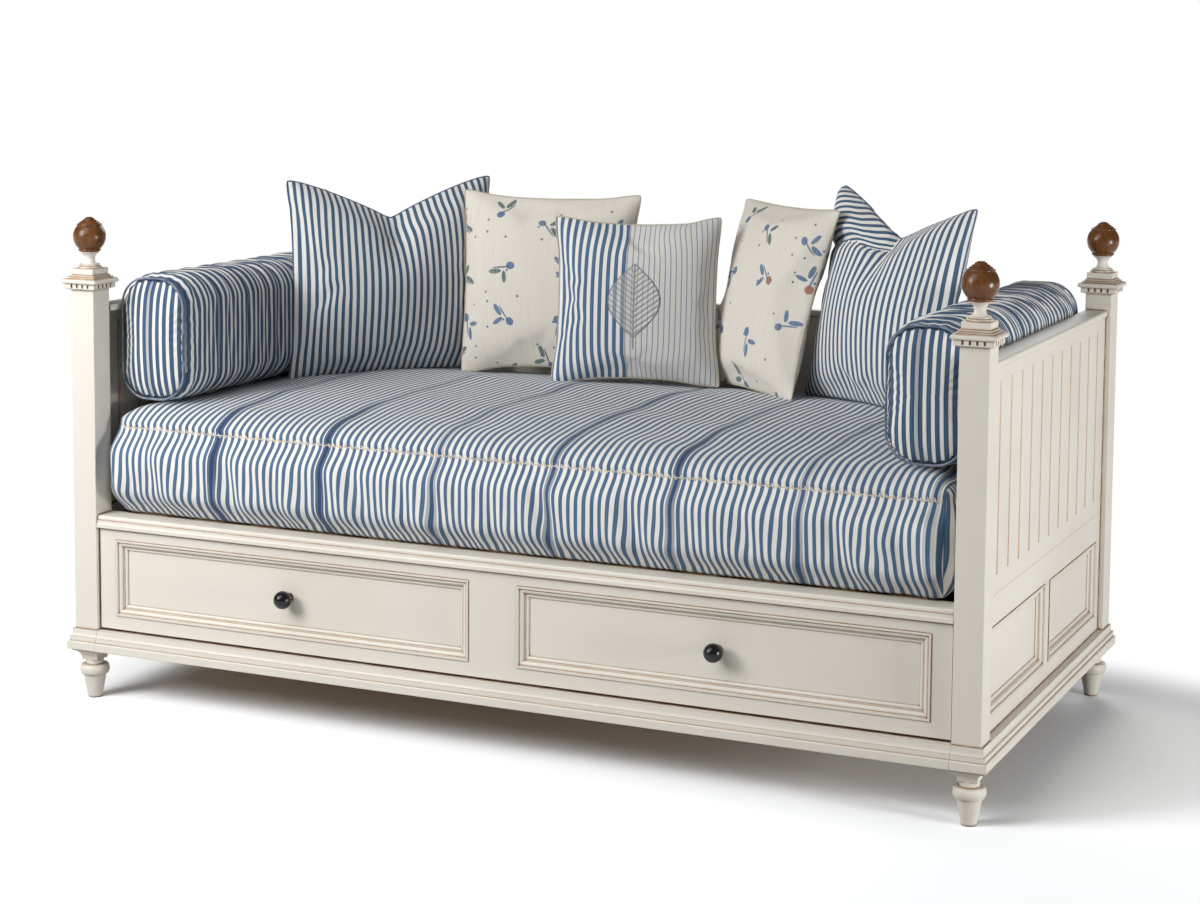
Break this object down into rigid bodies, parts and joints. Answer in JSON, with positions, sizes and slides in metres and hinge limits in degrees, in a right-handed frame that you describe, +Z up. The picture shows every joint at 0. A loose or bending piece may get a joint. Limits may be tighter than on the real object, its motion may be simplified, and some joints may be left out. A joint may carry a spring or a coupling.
{
  "type": "wooden sofa bed",
  "caption": "Painted wooden daybed with square posts and ball finials, a full-width trundle drawer under the seat, striped mattress, bolsters and loose cushions.",
  "frame": {"origin": "on the floor under the middle of the bounding box", "axes": "+X along the bed to the right as seen from the front, +Y towards the back, +Z up"},
  "size_m": [2.068, 1.075, 1.1058],
  "materials": {
    "painted_wood": "off-white paint with a brown glaze in the quirks",
    "turned_wood": "polished dark brown",
    "plain_wood": "bare sanded pine",
    "zinc_steel": "zinc plated",
    "black_knob": "satin black",
    "striped_ticking": "woven blue and cream stripe",
    "printed_linen": "cream linen with small printed sprigs",
    "patched_ticking": "bold stripe joined to a fine stripe, with a stitched leaf"
  },
  "bodies": {
    "frame": {"foot_left_front": "painted_wood", "post_left_front": "painted_wood", "capital_left_front": "painted_wood", "ball_left_front": "turned_wood", "foot_right_front": "painted_wood", "post_right_front": "painted_wood", "capital_right_front": "painted_wood", "ball_right_front": "turned_wood", "foot_left_rear": "painted_wood", "post_left_rear": "painted_wood", "capital_left_rear": "painted_wood", "ball_left_rear": "turned_wood", "foot_right_rear": "painted_wood", "post_right_rear": "painted_wood", "capital_right_rear": "painted_wood", "ball_right_rear": "turned_wood", "plinth_corners": "painted_wood", "base_rail_front": "painted_wood", "base_rail_back": "painted_wood", "seat_rail_front": "painted_wood", "end_mouldings": "painted_wood", "back_lower": "painted_wood", "back_board": "painted_wood", "back_cap": "painted_wood", "seat_rail_back": "plain_wood", "slats": "plain_wood", "slat_cleats": "plain_wood", "runner_battens": "plain_wood", "rail_dowels": "plain_wood", "base_rail_left": "painted_wood", "end_frame_left": "painted_wood", "end_board_left": "painted_wood", "end_cap_left": "painted_wood", "slide_outer_left": "zinc_steel", "bolster_left": "striped_ticking", "base_rail_right": "painted_wood", "end_frame_right": "painted_wood", "end_board_right": "painted_wood", "end_cap_right": "painted_wood", "slide_outer_right": "zinc_steel", "bolster_right": "striped_ticking", "mattress": "striped_ticking", "cushion_left_stripe": "striped_ticking", "cushion_right_stripe": "striped_ticking", "cushion_left_print": "printed_linen", "cushion_right_print": "printed_linen", "cushion_centre_patch": "patched_ticking"},
    "drawer": {"drawer_front": "painted_wood", "drawer_mouldings": "painted_wood", "drawer_side_left": "plain_wood", "drawer_side_right": "plain_wood", "drawer_back": "plain_wood", "drawer_bottom": "plain_wood", "knob_left": "black_knob", "knob_right": "black_knob", "knob_screws": "zinc_steel", "slide_inner_left": "zinc_steel", "slide_inner_right": "zinc_steel"},
    "middle_slide_left": {"slide_middle_left": "zinc_steel"},
    "middle_slide_right": {"slide_middle_right": "zinc_steel"}
  },
  "joints": [
    {"name": "trundle_slide", "type": "slide", "parent": "frame", "child": "drawer", "axis": [0, -1, 0], "range_m": [0, 0.65]},
    {"name": "middle_travel_left", "type": "slide", "parent": "frame", "child": "middle_slide_left", "axis": [0, -1, 0], "range_m": [0, 0.325]},
    {"name": "middle_travel_right", "type": "slide", "parent": "frame", "child": "middle_slide_right", "axis": [0, -1, 0], "range_m": [0, 0.325]}
  ],
  "couplings": [
    {"joint": "middle_travel_left", "follows": "trundle_slide", "ratio": 0.5},
    {"joint": "middle_travel_right", "follows": "trundle_slide", "ratio": 0.5}
  ]
}
